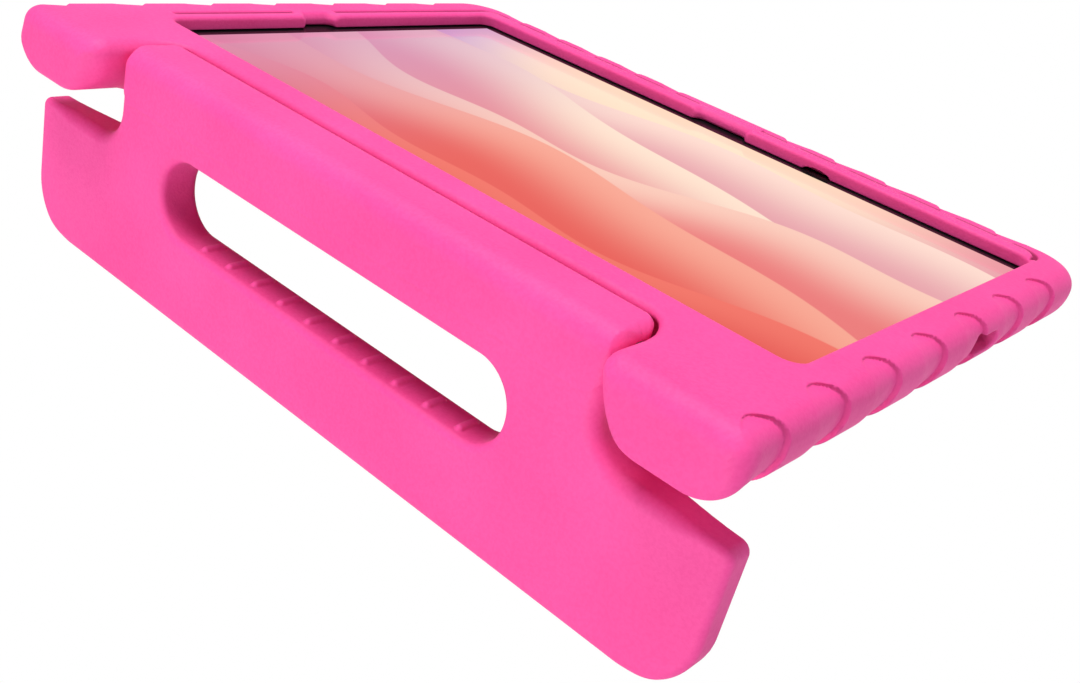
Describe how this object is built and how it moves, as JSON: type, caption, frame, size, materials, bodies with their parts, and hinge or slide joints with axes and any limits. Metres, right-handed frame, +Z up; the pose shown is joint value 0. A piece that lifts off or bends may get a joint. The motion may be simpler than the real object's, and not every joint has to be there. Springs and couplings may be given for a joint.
{
  "type": "kids tablet case",
  "caption": "Thick foam tablet case for children with a turning carry handle that doubles as a stand, shown holding a tablet.",
  "frame": {"origin": "on the ground plane, under the middle of the case's bounding box, with the case standing on its handle", "axes": "+X along the long side to the right as seen from the handle side, +Y away from the handle, +Z up"},
  "size_m": [0.2746, 0.2108, 0.0766],
  "materials": {
    "foam": "matt closed-cell foam with a fine pebbled skin",
    "bearing_plastic": "satin",
    "pin_steel": "satin",
    "housing_aluminium": "bead blasted",
    "screen_glass": "gloss over a lit display",
    "panel": "matt",
    "cell_wrap": "matt film",
    "board": "solder mask",
    "black_plastic": "matt",
    "lens_glass": "polished"
  },
  "bodies": {
    "case": {"case_body": "foam", "hinge_pin_right": "pin_steel", "hinge_pin_left": "pin_steel", "tablet_housing": "housing_aluminium", "cover_glass": "screen_glass", "display_panel": "panel", "battery_cell_right": "cell_wrap", "battery_cell_left": "cell_wrap", "main_board": "board", "charging_port": "pin_steel", "front_camera": "black_plastic", "rear_camera": "black_plastic", "rear_camera_lens": "lens_glass", "speaker_far_right": "black_plastic", "speaker_far_left": "black_plastic", "speaker_near_right": "black_plastic", "speaker_near_left": "black_plastic"},
    "handle": {"handle": "foam", "hinge_bush_right": "bearing_plastic", "hinge_bush_left": "bearing_plastic"},
    "power_button": {"power_button": "housing_aluminium"},
    "volume_button": {"volume_button": "housing_aluminium"}
  },
  "joints": [
    {"name": "handle_hinge", "type": "hinge", "parent": "case", "child": "handle", "pos_m": [0, -0.07719, 0.06311], "axis": [1, 0, 0], "range_deg": [-90, 0]},
    {"name": "power_press", "type": "slide", "parent": "case", "child": "power_button", "axis": [0, -0.954, 0.3], "range_m": [0, 0.0003], "stiffness_N_per_m": 3000, "springref_m": -0.0001},
    {"name": "volume_press", "type": "slide", "parent": "case", "child": "volume_button", "axis": [0, -0.954, 0.3], "range_m": [0, 0.0003], "stiffness_N_per_m": 3000, "springref_m": -0.0001}
  ]
}
